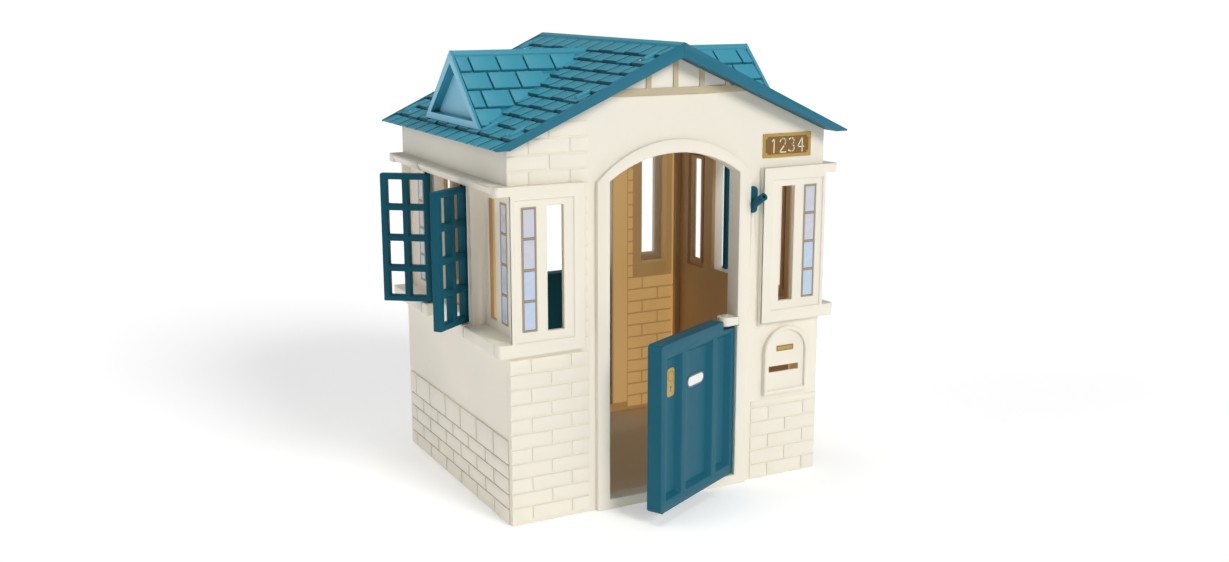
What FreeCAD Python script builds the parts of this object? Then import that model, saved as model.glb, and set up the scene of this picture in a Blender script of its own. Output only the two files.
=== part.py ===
import FreeCAD, Part
import Sketcher
import math
import os
import re

# A plastic playhouse: four moulded wall panels, two roof halves with a dormer each, two half-doors
# and four lattice shutters. Millimetres. The origin is on the ground, at the middle of the front
# doorway, on the front wall's outer plane. X runs to the right, Y into the house and Z up.

doc = FreeCAD.newDocument("playhouse")
sheet = doc.addObject("Spreadsheet::Sheet", "Sheet")

DRIVING = {
    "over": 5,                  # how far cutting tools run past a face
    # the house
    "house_half": 492,          # half of the front wall's width
    "house_depth": 789,         # front wall's outer plane to back wall's outer plane
    "panel": 43,                # thickness of a wall panel
    "lap": 14,                  # front wall's thickness where it laps over a side wall's end
    "gable_top": 1231,          # underside of the roof at the ridge
    "under_slope": 0.438,       # fall of the roof's underside per unit of width
    # the roof
    "ridge_top": 1270,
    "roof_slope": 0.469,        # fall of the roof's top per unit of width
    "eave_half": 539,
    "eave_under": 1012,
    "eave_step": 500,           # where the sloping underside turns level
    "gable_overhang": 47,
    "course": 47,               # width of one course of shingles, measured level
    "course_step": 7,           # height of one course's edge above the next course
    "first_course": 70,
    "cap_half": 26,             # half-width of the ridge cap
    "cap_step": 5,
    "course_count": 10,
    "block_long": 18,           # raised blocks beside the roof screws
    "block_up": 5,
    "block_front": -8,
    # the dormers
    "dormer_front": 485,
    "dormer_half": 205,
    "dormer_top": 1241,
    "dormer_base": 1042,
    "dormer_border": 19,
    "dormer_depth": 26,         # depth of the recessed triangle
    "dormer_corner": 45,        # from the dormer's lower corner to the recess's, along Y
    "dormer_peak": 35,          # from the dormer's tip down to the recess's
    "dormer_inner": 60,         # where the dormer's ridge runs into the roof
    # the doorway
    "door_half": 203,
    "sill_top": 29,
    "spring": 912,              # height where the arch begins
    "arch_radius": 349.5,
    "surround_half": 240,
    "surround_radius": 335.7,
    "surround_proud": 13,
    # windows beside the doorway
    "frame_inner": 279,
    "frame_low": 472,
    "frame_high": 917,
    "frame_proud": 20,
    "bay_inner": 312,
    "bay_outer": 480,
    "bay_low": 508,
    "bay_high": 881,
    "bay_floor": -15,           # the recessed face, in front of the wall's outer plane
    "slot_inner": 339,
    "slot_outer": 386.6,
    "slot_low": 532,
    "slot_high": 863,
    "strip_inner": 417.5,
    "strip_wide": 42.5,
    "strip_low": 535,
    "strip_high": 863,
    "strip_thick": 1.5,
    "skin": 8,                  # thickness left round a slot, where the wall is hollowed behind it
    "pocket": 25,               # how far that hollow reaches past the slot
    # ledges over and under every window
    "ledge_end": 530,           # half of the length of a front ledge, past the corner
    "top_ledge_low": 893,
    "top_ledge_high": 918,
    "sill_ledge_low": 472,
    "sill_ledge_high": 508,
    # moulded brickwork
    "brick_proud": 4,
    "brick_inner": 262,
    "skirt_top": 237,
    # mail box moulding
    "mail_middle": 376,
    "mail_half": 77,
    "mail_low": 252,
    "mail_spring": 378,
    "mail_proud": 14,
    "mail_border": 13,
    "mail_floor": 6,            # the face inside the border, in front of the wall's outer plane
    "mail_slot_middle": 371,
    "mail_slot_half": 51.5,
    "mail_slot_low": 318,
    "mail_slot_high": 336,
    # side walls
    "side_slot_near": 141,
    "side_slot_far": 191,
    "side_strip_near": 60,
    "side_bay_floor": 25,
    "corner_skin": 12,          # thickness of the window frame where the side bay runs round the corner
    "side_bay_high": 885,
    "side_open_near": 264,
    "side_open_low": 514,
    "side_open_high": 889,
    "rib_near": 213,            # ribs beside the side windows
    "rib_far": 241,
    "rib_proud": 15,
    "groove_near": 225,         # the groove that parts a bay from the side window
    "groove_wide": 9,
    "groove_floor": 7,          # in front of the wall's outer plane
    "side_ledge_proud": 38,
    "crown_low_proud": 28,      # the top ledge's face leans in to this at its foot
    "crown_lip": 6,
    "sill_reach": 276,          # how far a sill ledge runs from the end of a side wall
    # hinged half-doors
    "leaf_half": 198.5,
    "leaf_low": 34,
    "leaf_high": 499,
    "leaf_face": 18,            # outer face in front of the wall's outer plane
    "leaf_thick": 43,
    "leaf_round": 12,
    "hinge_across": 170,        # door hinge's distance from the middle of the doorway
    "hinge_deep": 6,            # door hinge behind the wall's outer plane
    "knuckle_round": 20,
    "knuckle_low": 476,
    "knuckle_high": 502,
    "notch_wide": 72,
    "notch_low": 470,
    "pin_round": 5,
    "pin_gap": 0.06,            # radial play of a pin in its hole
    "pin_head": 8,
    "pin_head_high": 4,
    "pin_top_low": 444,
    "pin_low_low": 8,
    "pin_low_high": 59,
    "pin_spare": 4,             # how far a pin's hole runs on past its end
    "panel_low": 65,
    "panel_high": 460,
    "panel_deep": 16,
    "panel_bevel": 12,
    "door_open": 28,            # degrees that the front door stands open
    # shutters
    "shutter_across": 513,      # shutter hinge's distance from the middle of the house
    "shutter_near": 258,        # front shutter hinge behind the front wall's outer plane
    "shutter_reach": 134.5,     # hinge line to free edge
    "shutter_round": 12.5,      # half of the shutter's thickness
    "shutter_low": 512,
    "shutter_high": 887,
    "rail": 17,
    "stile": 19,
    "mid_bar": 18,
    "peg_round": 4,
    "peg_out": 14,
    "peg_spare": 4,
    "shutter_open": 126,        # degrees that each shutter stands open
    # fittings
    "screw_shank": 2.5,
    "screw_head": 6,
    "seat_gap": 0.6,            # room round a roof screw's head
    "screw_head_high": 3,
    "screw_deep": 52,
    "screw_sunk": 5,            # seat below the line through the shingles' edges
    "screw_in": 25,             # roof screws from the front wall's outer plane
    "screw_gap": 0.05,
    "screw_over": 2,            # how far a screw hole runs on past the tip
    "corner_reach": 22,         # how far a corner screw goes into the side wall
    "flange": 19,
    "flange_reach": 70,
    "flange_top": 1000,
    "plate_thick": 1.5,
    "number_thick": 3,
    "number_low": 943,
    "number_high": 1011,
    "number_near": 283,
    "number_far": 446,
    "mail_plate_near": 344,
    "mail_plate_far": 402,
    "mail_plate_low": 380,
    "mail_plate_high": 396,
    "knob_near": 110,           # knob plate, measured from the middle of the leaf
    "knob_far": 146,
    "knob_low": 345,
    "knob_high": 423,
    "badge_half": 27,           # half of the straight part of the badge
    "badge_low": 344,
    "badge_high": 378,
    "badge_thick": 2.5,
    "flag_across": 253,
    "flag_low": 793,
    "flag_high": 868,
    "flag_half": 12.7,
    "flag_plate": 8,
    "flag_plug": 6,
    "flag_plug_gap": 0.05,
    "flag_plug_deep": 12,
    "flag_start": 9,            # start of the leaning socket, in front of the wall
    "flag_drop": 25,            # start of the socket above the plate's foot
    "flag_lean": 60,            # degrees that the socket leans out from upright
    "flag_wall": 11,            # outer radius of the socket
    "flag_long": 55,
    "flag_bore": 4.8,
    "flag_floor": 20,           # from the socket's start to the bottom of its bore
    "trim_low": 1131,
    "trim_high": 1150,
    "trim_proud": 4,
    "trim_post": 15,
    "trim_pitch": 82,
}

for row, (name, number) in enumerate(DRIVING.items(), start=1):
    sheet.set(f"A{row}", name)
    sheet.set(f"B{row}", str(number))
    sheet.setAlias(f"B{row}", name)
doc.recompute()

WORD = re.compile(r"[a-z_][a-z_0-9]*")
FUNCTIONS = ("sqrt", "atan", "cos", "sin", "tan")


def linked(formula):
    """The formula with each of its words turned into that cell of the sheet."""
    def cell(word):
        return word.group(0) if word.group(0) in FUNCTIONS else "Sheet." + word.group(0)
    return WORD.sub(cell, str(formula))


def bind(target, prop, formula):
    target.setExpression(prop, linked(formula))


def number(formula):
    """The formula's value now, worked out by the sheet."""
    sheet.set("D1", "=" + str(formula))
    sheet.recompute()
    return float(sheet.get("D1"))


def minus(formula):
    return f"-({formula})"


# ---------------------------------------------------------------- building blocks

def box(name, low, high):
    solid = doc.addObject("Part::Box", name)
    for axis, prop in enumerate(("Length", "Width", "Height")):
        bind(solid, prop, f"({high[axis]}) - ({low[axis]})")
        bind(solid, "Placement.Base." + "xyz"[axis], low[axis])
    return solid


def cylinder(name, radius, length, base, turn=None):
    """A round bar that starts at base and runs up, or along the way that turn points Z."""
    solid = doc.addObject("Part::Cylinder", name)
    bind(solid, "Radius", radius)
    bind(solid, "Height", length)
    if turn:
        solid.Placement = FreeCAD.Placement(FreeCAD.Vector(), turn)
    for axis in range(3):
        bind(solid, "Placement.Base." + "xyz"[axis], base[axis])
    return solid


def trace(sketch, outline):
    """Draw a closed outline counter-clockwise and tie every corner to the sheet.

    A corner is (u, v); with a third value, an arc of that radius leads from it to the next.
    """
    corners = [FreeCAD.Vector(number(c[0]), number(c[1]), 0) for c in outline]
    ends = []
    for i, corner in enumerate(outline):
        here = corners[i]
        there = corners[(i + 1) % len(corners)]
        if len(corner) == 2:
            edge = sketch.addGeometry(Part.LineSegment(here, there), False)
        else:
            radius = number(corner[2])
            chord = there - here
            across = FreeCAD.Vector(-chord.y, chord.x, 0).normalize()
            rise = math.sqrt(radius ** 2 - (chord.Length / 2) ** 2)
            middle = (here + there) * 0.5 + across * rise
            start = math.atan2(here.y - middle.y, here.x - middle.x)
            stop = math.atan2(there.y - middle.y, there.x - middle.x)
            circle = Part.Circle(middle, FreeCAD.Vector(0, 0, 1), radius)
            edge = sketch.addGeometry(Part.ArcOfCircle(circle, start, stop), False)
        ends.append(edge)
    for i, corner in enumerate(outline):
        sketch.addConstraint(Sketcher.Constraint("Coincident", ends[i - 1], 2, ends[i], 1))
        for kind, formula, place in (("DistanceX", corner[0], corners[i].x),
                                     ("DistanceY", corner[1], corners[i].y)):
            tie = sketch.addConstraint(Sketcher.Constraint(kind, -1, 1, ends[i], 1, place))
            bind(sketch, f"Constraints[{tie}]", formula)
        if len(corner) == 3:
            tie = sketch.addConstraint(Sketcher.Constraint("Radius", ends[i], number(corner[2])))
            bind(sketch, f"Constraints[{tie}]", corner[2])


def slab(name, role, outline, start, length):
    """A body padded from an outline on an origin plane, from start towards +X, +Y or +Z."""
    body = doc.addObject("PartDesign::Body", name)
    plane = [part for part in body.Origin.OriginFeatures if part.Role == role][0]
    sketch = body.newObject("Sketcher::SketchObject", name + "_outline")
    sketch.AttachmentSupport = (plane, [""])
    sketch.MapMode = "FlatFace"
    faces_back = role == "XZ_Plane"
    bind(sketch, "AttachmentOffset.Base.z", minus(start) if faces_back else start)
    trace(sketch, outline)
    pad = body.newObject("PartDesign::Pad", name + "_pad")
    pad.Profile = sketch
    pad.Reversed = faces_back
    bind(pad, "Length", length)
    return body


def wedge(name, low, high, bevel):
    """A frustum that opens towards -Y: its mouth spans low to high, its floor is inset by bevel."""
    solid = doc.addObject("Part::Wedge", name)
    for prop, formula in (("Xmin", low[0]), ("Xmax", high[0]), ("Ymin", low[1]), ("Ymax", high[1]),
                          ("Zmin", low[2]), ("Zmax", high[2]),
                          ("X2min", f"{low[0]} + {bevel}"), ("X2max", f"{high[0]} - {bevel}"),
                          ("Z2min", f"{low[2]} + {bevel}"), ("Z2max", f"{high[2]} - {bevel}")):
        bind(solid, prop, formula)
    return solid


def fuse(name, parts):
    whole = doc.addObject("Part::MultiFuse", name)
    whole.Shapes = parts
    whole.Refine = True
    return whole


def carve(name, base, tools):
    result = doc.addObject("Part::Cut", name)
    result.Base = base
    result.Tool = tools[0] if len(tools) == 1 else fuse(name + "_tools", tools)
    result.Refine = True
    return result


# an arc's radius that turns half a circle, kept just over half of the chord
HALF_ROUND = "{} + 0.001"


def rectangle(left, low, right, high):
    return [(left, low), (right, low), (right, high), (left, high)]


UP = FreeCAD.Vector(0, 0, 1)
HALF_TURN = FreeCAD.Rotation(UP, 180)
ALONG_X = FreeCAD.Rotation(FreeCAD.Vector(0, 1, 0), 90)
ALONG_Y = FreeCAD.Rotation(FreeCAD.Vector(1, 0, 0), -90)
pieces = []


def finish_piece(piece, label, turned=False, base=("0", "0", "0"), angle="0"):
    """Name and place a sub-part, turned by angle about base.

    A turned one is placed half a turn round, on the opposite side of the house.
    """
    piece.Label = label
    spin = FreeCAD.Rotation(UP, number(angle))
    piece.Placement = FreeCAD.Placement(FreeCAD.Vector(), HALF_TURN * spin if turned else spin)
    if turned:
        base = (minus(base[0]), f"house_depth - ({base[1]})", base[2])
    for axis in range(3):
        bind(piece, "Placement.Base." + "xyz"[axis], base[axis])
    pieces.append(piece)
    return piece


SIDES = (("left", -1), ("right", 1))


def span(side, near, far):
    """Two X formulas, lowest first, for a stretch near..far from the middle on one side."""
    return (near, far) if side > 0 else (minus(far), minus(near))


def place(end, y):
    """A Y formula measured from the front wall's or the back wall's outer plane."""
    return y if end == "front" else f"house_depth - ({y})"


def run(end, near, far):
    """Two Y formulas, lowest first, for a stretch near..far from one end of the house."""
    return (near, far) if end == "front" else (place(end, far), place(end, near))


# ---------------------------------------------------------------- front and back wall

def gable_outline(half):
    shoulder = f"gable_top - under_slope * ({half})"
    return [(minus(half), "0"), (half, "0"), (half, shoulder), ("0", "gable_top"),
            (minus(half), shoulder)]


def arch_outline(half, low, spring, radius):
    return [(minus(half), low), (half, low), (half, spring, radius), (minus(half), spring)]


# where the screws of one roof half go, measured from the ridge
SCREW_ACROSS = (95, 286, 474)
CORNER_SCREW_HEIGHTS = (120, 420, 940)
CORNER_SCREW_IN = "(panel + flange_reach) / 2"


def screw_seat(across):
    """Height of the seat under a roof screw's head."""
    return f"ridge_top - roof_slope * {across} - screw_sunk"


def screw_tip(across):
    return screw_seat(across) + " - screw_deep"


def top_hole(name, across, y):
    """The hole for a roof screw in the top of a wall."""
    return cylinder(name, "screw_shank + screw_gap", "screw_deep + 2 * screw_over",
                    (across, y, f"{screw_tip(abs(across))} - screw_over"))


def mail_outline(inset):
    """The mail box's round-topped outline, or one that lies inside it by inset."""
    half = f"mail_half - ({inset})"
    left = f"mail_middle - ({half})"
    right = f"mail_middle + ({half})"
    low = f"mail_low + {inset}"
    return [(left, low), (right, low), (right, "mail_spring", HALF_ROUND.format(half)),
            (left, "mail_spring")]


def end_wall(label, turned):
    """A gabled wall with its doorway, windows, mail box and the knuckle of the door's hinge."""
    n = label + "_"
    solids = [
        slab(n + "skin", "XZ_Plane", gable_outline("house_half"), "0", "lap"),
        slab(n + "core", "XZ_Plane", gable_outline("house_half - panel"), "0", "panel"),
        slab(n + "surround", "XZ_Plane",
             arch_outline("surround_half", "0", "spring", "surround_radius"),
             "-surround_proud", "surround_proud + lap"),
        slab(n + "mail_box", "XZ_Plane",
             mail_outline("0"), "-mail_proud", "mail_proud + lap"),
        box(n + "brick_left", ("-house_half", "-brick_proud", "0"),
            ("-brick_inner", "lap", "gable_top - under_slope * house_half")),
        box(n + "brick_right", ("brick_inner", "-brick_proud", "0"),
            ("house_half", "lap", "skirt_top")),
    ]
    doorway = slab(n + "doorway", "XZ_Plane",
                   arch_outline("door_half", "sill_top", "spring", "arch_radius"),
                   "-surround_proud - over", "surround_proud + panel + 2 * over")
    knuckle = slab(n + "knuckle", "XY_Plane",
                   [("hinge_across", "hinge_deep - knuckle_round"),
                    ("door_half + over", "hinge_deep - knuckle_round"),
                    ("door_half + over", "hinge_deep + knuckle_round"),
                    ("hinge_across", "hinge_deep + knuckle_round", HALF_ROUND.format("knuckle_round"))],
                   "knuckle_low", "knuckle_high - knuckle_low")
    holes = [
        slab(n + "mail_recess", "XZ_Plane", mail_outline("mail_border"),
             "-mail_proud - over", "mail_proud - mail_floor + over"),
        box(n + "mail_slot",
            ("mail_slot_middle - mail_slot_half", "-mail_proud - over", "mail_slot_low"),
            ("mail_slot_middle + mail_slot_half", "panel + over", "mail_slot_high")),
        box(n + "mail_pocket",
            ("mail_slot_middle - mail_slot_half - pocket", "skin - mail_floor",
             "mail_slot_low - pocket"),
            ("mail_slot_middle + mail_slot_half + over", "panel + over",
             "mail_slot_high + pocket")),
        cylinder(n + "knuckle_hole", "pin_round + pin_gap", "knuckle_high - knuckle_low + 2 * over",
                 ("hinge_across", "hinge_deep", "knuckle_low - over")),
        cylinder(n + "sill_hole", "pin_round + pin_gap", "sill_top + over",
                 ("hinge_across", "hinge_deep", "pin_low_low - 2")),
    ]
    if not turned:
        holes.append(cylinder(n + "flag_hole", "flag_plug + flag_plug_gap", "flag_plug_deep + 2",
                              ("flag_across", "0", "(flag_low + flag_high) / 2"), ALONG_Y))
    for side, sign in SIDES:
        frame_x = span(sign, "frame_inner", "house_half")
        ledge_x = span(sign, "frame_inner", "ledge_end")
        bay_x = span(sign, "bay_inner", "bay_outer")
        slot_x = span(sign, "slot_inner", "slot_outer")
        pocket_x = span(sign, "slot_inner - pocket", "slot_outer + pocket")
        corner_x = span(sign, "house_half - side_bay_floor", "house_half + over")
        flange_x = span(sign, "house_half - panel - flange", "house_half - panel")
        solids += [
            box(n + side + "_frame", (frame_x[0], "-frame_proud", "frame_low"),
                (frame_x[1], "lap", "frame_high")),
            box(n + side + "_top_ledge", (ledge_x[0], "-frame_proud", "top_ledge_low"),
                (ledge_x[1], "lap", "top_ledge_high")),
            box(n + side + "_sill_ledge", (ledge_x[0], "-frame_proud", "sill_ledge_low"),
                (ledge_x[1], "lap", "sill_ledge_high")),
            box(n + side + "_flange", (flange_x[0], "lap", "0"),
                (flange_x[1], "flange_reach", "flange_top")),
        ]
        holes += [
            box(n + side + "_bay", (bay_x[0], "-frame_proud - over", "bay_low"),
                (bay_x[1], "bay_floor", "bay_high")),
            box(n + side + "_slot", (slot_x[0], "-frame_proud - over", "slot_low"),
                (slot_x[1], "panel + over", "slot_high")),
            box(n + side + "_pocket", (pocket_x[0], "bay_floor + skin", "slot_low - pocket"),
                (pocket_x[1], "panel + over", "slot_high + pocket")),
            box(n + side + "_corner", (corner_x[0], "corner_skin - frame_proud", "bay_low"),
                (corner_x[1], "lap + over", "side_bay_high")),
        ]
        for i, height in enumerate(CORNER_SCREW_HEIGHTS):
            holes.append(cylinder(f"{n}{side}_flange_hole{i}", "screw_shank + screw_gap",
                                  "flange + 2 * over",
                                  (f"{flange_x[0]} - over", CORNER_SCREW_IN, height), ALONG_X))
        for i, across in enumerate(SCREW_ACROSS[:2]):
            holes.append(top_hole(f"{n}{side}_top_hole{i}", sign * across, "screw_in"))
    framed = carve(n + "framed", fuse(n + "solid", solids), [doorway])
    return finish_piece(carve(n + "panel", fuse(n + "hinged", [framed, knuckle]), holes),
                        label, turned)


end_wall("front_wall", False)
end_wall("back_wall", True)


# ---------------------------------------------------------------- side walls

def side_wall(label, turned):
    """A low wall with its window between the shutter ribs and a bay at each end."""
    n = label + "_"
    outer = "-house_half"
    inner = "panel - house_half"
    length = "house_depth - 2 * lap"
    roof_at = "gable_top - under_slope * house_half"
    solids = [
        slab(n + "core", "XZ_Plane",
             [(outer, "0"), (inner, "0"), (inner, f"{roof_at} + under_slope * panel"),
              (outer, roof_at)], "lap", length),
        box(n + "skirt", (f"{outer} - brick_proud", "lap", "0"),
            (inner, "house_depth - lap", "skirt_top")),
        slab(n + "crown", "XZ_Plane",
             [(f"{outer} - crown_low_proud", "top_ledge_low"), (inner, "top_ledge_low"),
              (inner, "top_ledge_high"), (f"{outer} - side_ledge_proud", "top_ledge_high"),
              (f"{outer} - side_ledge_proud", "top_ledge_high - crown_lip")], "lap", length),
    ]
    holes = [box(n + "window", (f"{outer} - side_ledge_proud - over", "side_open_near",
                                "side_open_low"),
                 (f"{inner} + over", "house_depth - side_open_near", "side_open_high"))]
    for end in ("front", "back"):
        rib = run(end, "rib_near", "rib_far")
        sill = run(end, "lap", "sill_reach")
        bay = run(end, "lap - over", "rib_near")
        slot = run(end, "side_slot_near", "side_slot_far")
        pocket = run(end, "side_slot_near - pocket", "side_slot_far + pocket")
        groove = run(end, "groove_near", "groove_near + groove_wide")
        hinge = place(end, "shutter_near")
        solids += [
            box(n + end + "_rib", (f"{outer} - rib_proud", rib[0], "sill_ledge_high - over"),
                (inner, rib[1], "top_ledge_low + over")),
            box(n + end + "_sill_ledge", (f"{outer} - side_ledge_proud", sill[0], "sill_ledge_low"),
                (inner, sill[1], "sill_ledge_high")),
        ]
        holes += [
            box(n + end + "_bay", (f"{outer} - rib_proud - over", bay[0], "bay_low"),
                (f"{outer} + side_bay_floor", bay[1], "side_bay_high")),
            box(n + end + "_slot", (f"{outer} - over", slot[0], "slot_low"),
                (f"{inner} + over", slot[1], "slot_high")),
            box(n + end + "_pocket", (f"{outer} + side_bay_floor + skin", pocket[0],
                                      "slot_low - pocket"),
                (f"{inner} + over", pocket[1], "slot_high + pocket")),
            box(n + end + "_groove", (f"{outer} - side_ledge_proud - over", groove[0],
                                      "sill_ledge_low - over"),
                (f"{outer} - groove_floor", groove[1], "top_ledge_high + over")),
            cylinder(n + end + "_peg_low", "peg_round + pin_gap", "peg_out + 2 * peg_spare",
                     ("-shutter_across", hinge, "shutter_low - peg_out - peg_spare")),
            cylinder(n + end + "_peg_high", "peg_round + pin_gap", "peg_out + 2 * peg_spare",
                     ("-shutter_across", hinge, "shutter_high - peg_spare")),
            top_hole(n + end + "_roof_hole", -SCREW_ACROSS[2], place(end, "screw_in")),
        ]
        for i, height in enumerate(CORNER_SCREW_HEIGHTS):
            holes.append(cylinder(f"{n}{end}_corner_hole{i}", "screw_shank + screw_gap",
                                  "corner_reach + 2 * over",
                                  (f"{inner} - corner_reach - over", place(end, CORNER_SCREW_IN),
                                   height), ALONG_X))
    return finish_piece(carve(n + "panel", fuse(n + "solid", solids), holes), label, turned)


side_wall("left_wall", False)
side_wall("right_wall", True)


# ---------------------------------------------------------------- roof halves

BLOCKS = ((440, 481), (255, 296), (57, 99))


def shingled_profile():
    """Section of the left half: a ridge cap, then courses that each step down to the next."""
    def line(across):
        return f"ridge_top - roof_slope * ({across})"
    points = [("0", "gable_top"), ("0", "ridge_top"), ("-cap_half", line("cap_half")),
              ("-cap_half", line("cap_half") + " - cap_step")]
    for i in range(DRIVING["course_count"]):
        edge = f"first_course + {i} * course"
        points.append((minus(edge), line(edge)))
        points.append((minus(edge), line(edge) + " - course_step"))
    points += [("-eave_half", line("eave_half")), ("-eave_half", "eave_under"),
               ("-eave_step", "eave_under")]
    return points


def roof_half(label, turned):
    """One slope of shingles with its dormer, and blocks and seats for its screws."""
    n = label + "_"
    middle = "house_depth / 2"
    shingles = slab(n + "shingles", "XZ_Plane", shingled_profile(), "-gable_overhang",
                    "house_depth + 2 * gable_overhang")
    dormer = slab(n + "dormer", "YZ_Plane",
                  [(f"{middle} - dormer_half", "dormer_base"),
                   (f"{middle} + dormer_half", "dormer_base"), (middle, "dormer_top")],
                  "-dormer_front", "dormer_front - dormer_inner")
    solids = [shingles, dormer]
    holes = [
        slab(n + "below", "XZ_Plane",
             [("-eave_half", "0"), ("0", "0"), ("0", "gable_top"), ("-eave_step", "eave_under"),
              ("-eave_half", "eave_under")],
             f"{middle} - dormer_half - over", "2 * dormer_half + 2 * over"),
        slab(n + "recess", "YZ_Plane",
             [(f"{middle} - dormer_half + dormer_corner", "dormer_base + dormer_border"),
              (f"{middle} + dormer_half - dormer_corner", "dormer_base + dormer_border"),
              (middle, "dormer_top - dormer_peak")],
             "-dormer_front - over", "dormer_depth + over"),
    ]
    for end in ("front", "back"):
        blocks_at = run(end, "block_front", "block_front + block_long")[0]
        for i, (near, far) in enumerate(BLOCKS):
            low = f"ridge_top - roof_slope * {far}"
            high = f"ridge_top - roof_slope * {near}"
            solids.append(slab(f"{n}{end}_block{i}", "XZ_Plane",
                               [(-far, low + " - 2 * course_step"),
                                (-near, high + " - 2 * course_step"),
                                (-near, high + " + block_up"), (-far, low + " + block_up")],
                               blocks_at, "block_long"))
        for i, across in enumerate(SCREW_ACROSS):
            holes.append(cylinder(f"{n}{end}_hole{i}", "screw_shank + screw_gap",
                                  "screw_deep + over",
                                  (-across, place(end, "screw_in"), screw_tip(across))))
            holes.append(cylinder(f"{n}{end}_seat{i}", "screw_head + seat_gap",
                                  "screw_sunk + 2 * over",
                                  (-across, place(end, "screw_in"), screw_seat(across))))
    return finish_piece(carve(n + "half", fuse(n + "solid", solids), holes), label, turned)


roof_half("roof_left", False)
roof_half("roof_right", True)


# ---------------------------------------------------------------- half-doors and their pins

LEAF_PANELS = ((-172, -94), (-69, 69), (94, 172))
HINGE = ("hinge_across", "hinge_deep", "0")


def from_hinge(points, deep="0"):
    """Outline points moved so that the hinge line, and the depth given, are at zero."""
    return [(f"{p[0]} - hinge_across", f"{p[1]} - ({deep})") + tuple(p[2:]) for p in points]


def half_door(label, turned, angle):
    """A rounded leaf with three sunk panels and a notch for the knuckle, about its hinge line."""
    n = label + "_"
    front = "-leaf_face - hinge_deep"
    face = slab(n + "face", "XZ_Plane", from_hinge([
        ("leaf_round - leaf_half", "leaf_low"),
        ("leaf_half - leaf_round", "leaf_low", "leaf_round"),
        ("leaf_half", "leaf_low + leaf_round"),
        ("leaf_half", "notch_low"),
        ("leaf_half - notch_wide", "notch_low"),
        ("leaf_half - notch_wide", "leaf_high"),
        ("leaf_round - leaf_half", "leaf_high", "leaf_round"),
        ("-leaf_half", "leaf_high - leaf_round"),
        ("-leaf_half", "leaf_low + leaf_round", "leaf_round")]), front, "leaf_thick")
    back = "leaf_thick - leaf_face"
    plan = slab(n + "plan", "XY_Plane", from_hinge([
        ("-leaf_half", "-leaf_face"),
        ("leaf_half - leaf_round", "-leaf_face", "leaf_round"),
        ("leaf_half", "leaf_round - leaf_face"),
        ("leaf_half", f"{back} - leaf_round", "leaf_round"),
        ("leaf_half - leaf_round", back),
        ("-leaf_half", back)], deep="hinge_deep"), "leaf_low", "leaf_high - leaf_low")
    leaf = doc.addObject("Part::MultiCommon", n + "leaf")
    leaf.Shapes = [face, plan]
    holes = [
        cylinder(n + "top_hole", "pin_round + pin_gap", "notch_low - pin_top_low + pin_spare + over",
                 ("0", "0", "pin_top_low - pin_spare")),
        cylinder(n + "low_hole", "pin_round + pin_gap", "pin_low_high + pin_spare - leaf_low + over",
                 ("0", "0", "leaf_low - over")),
    ]
    for i, (left, right) in enumerate(LEAF_PANELS):
        holes.append(wedge(f"{n}panel{i}", (f"{left} - hinge_across", front, "panel_low"),
                           (f"{right} - hinge_across", f"{front} + panel_deep", "panel_high"),
                           "panel_bevel"))
    return finish_piece(carve(n + "door", leaf, holes), label, turned, HINGE, angle)


def door_pins(label, turned):
    """A headed pin down through the knuckle and a plain pin up out of the sill."""
    n = label + "_"
    x, y = HINGE[:2]
    parts = [
        cylinder(n + "head", "pin_head", "pin_head_high", (x, y, "knuckle_high")),
        cylinder(n + "top", "pin_round", "knuckle_high - pin_top_low", (x, y, "pin_top_low")),
        cylinder(n + "low", "pin_round", "pin_low_high - pin_low_low", (x, y, "pin_low_low")),
    ]
    return finish_piece(fuse(n + "pins", parts), label, turned)


half_door("front_door", False, "door_open")
half_door("back_door", True, "0")
door_pins("front_door_pins", False)
door_pins("back_door_pins", True)

PANEL_FLOOR = "panel_deep - leaf_face - hinge_deep"
badge_end = HALF_ROUND.format("(badge_high - badge_low) / 2")
knob_plate = slab("knob_plate", "XZ_Plane",
                  from_hinge(rectangle("-knob_far", "knob_low", "-knob_near", "knob_high")),
                  PANEL_FLOOR + " - plate_thick", "plate_thick")
badge = slab("badge", "XZ_Plane",
             from_hinge([("-badge_half", "badge_low"), ("badge_half", "badge_low", badge_end),
                         ("badge_half", "badge_high"), ("-badge_half", "badge_high", badge_end)]),
             PANEL_FLOOR + " - badge_thick", "badge_thick")
finish_piece(knob_plate, "front_door_knob_plate", False, HINGE, "door_open")
finish_piece(badge, "front_door_badge", False, HINGE, "door_open")


# ---------------------------------------------------------------- shutters

def shutter(label, turned, rear):
    """A lattice of two by four panes on a rounded hinge edge with a peg at each end."""
    n = label + "_"
    thick = "shutter_round"
    solids = [
        box(n + "board", (minus(thick), "0", "shutter_low"),
            (thick, "shutter_reach", "shutter_high")),
        cylinder(n + "edge", thick, "shutter_high - shutter_low", ("0", "0", "shutter_low")),
        cylinder(n + "peg", "peg_round", "shutter_high - shutter_low + 2 * peg_out",
                 ("0", "0", "shutter_low - peg_out")),
    ]
    first = "stile - shutter_round"
    wide = "(shutter_reach + shutter_round - 2 * stile - mid_bar) / 2"
    tall = "(shutter_high - shutter_low - 2 * rail - 3 * mid_bar) / 4"
    holes = []
    for column in range(2):
        near = f"{first} + {column} * ({wide} + mid_bar)"
        for row in range(4):
            low = f"shutter_low + rail + {row} * ({tall} + mid_bar)"
            holes.append(box(f"{n}pane{column}{row}", (f"-{thick} - over", near, low),
                             (f"{thick} + over", f"{near} + {wide}", f"{low} + {tall}")))
    hinge = ("-shutter_across", place("back" if rear else "front", "shutter_near"), "0")
    stand = "180 - shutter_open" if rear else "shutter_open"
    return finish_piece(carve(n + "lattice", fuse(n + "solid", solids), holes), label, turned,
                        hinge, stand)


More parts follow.
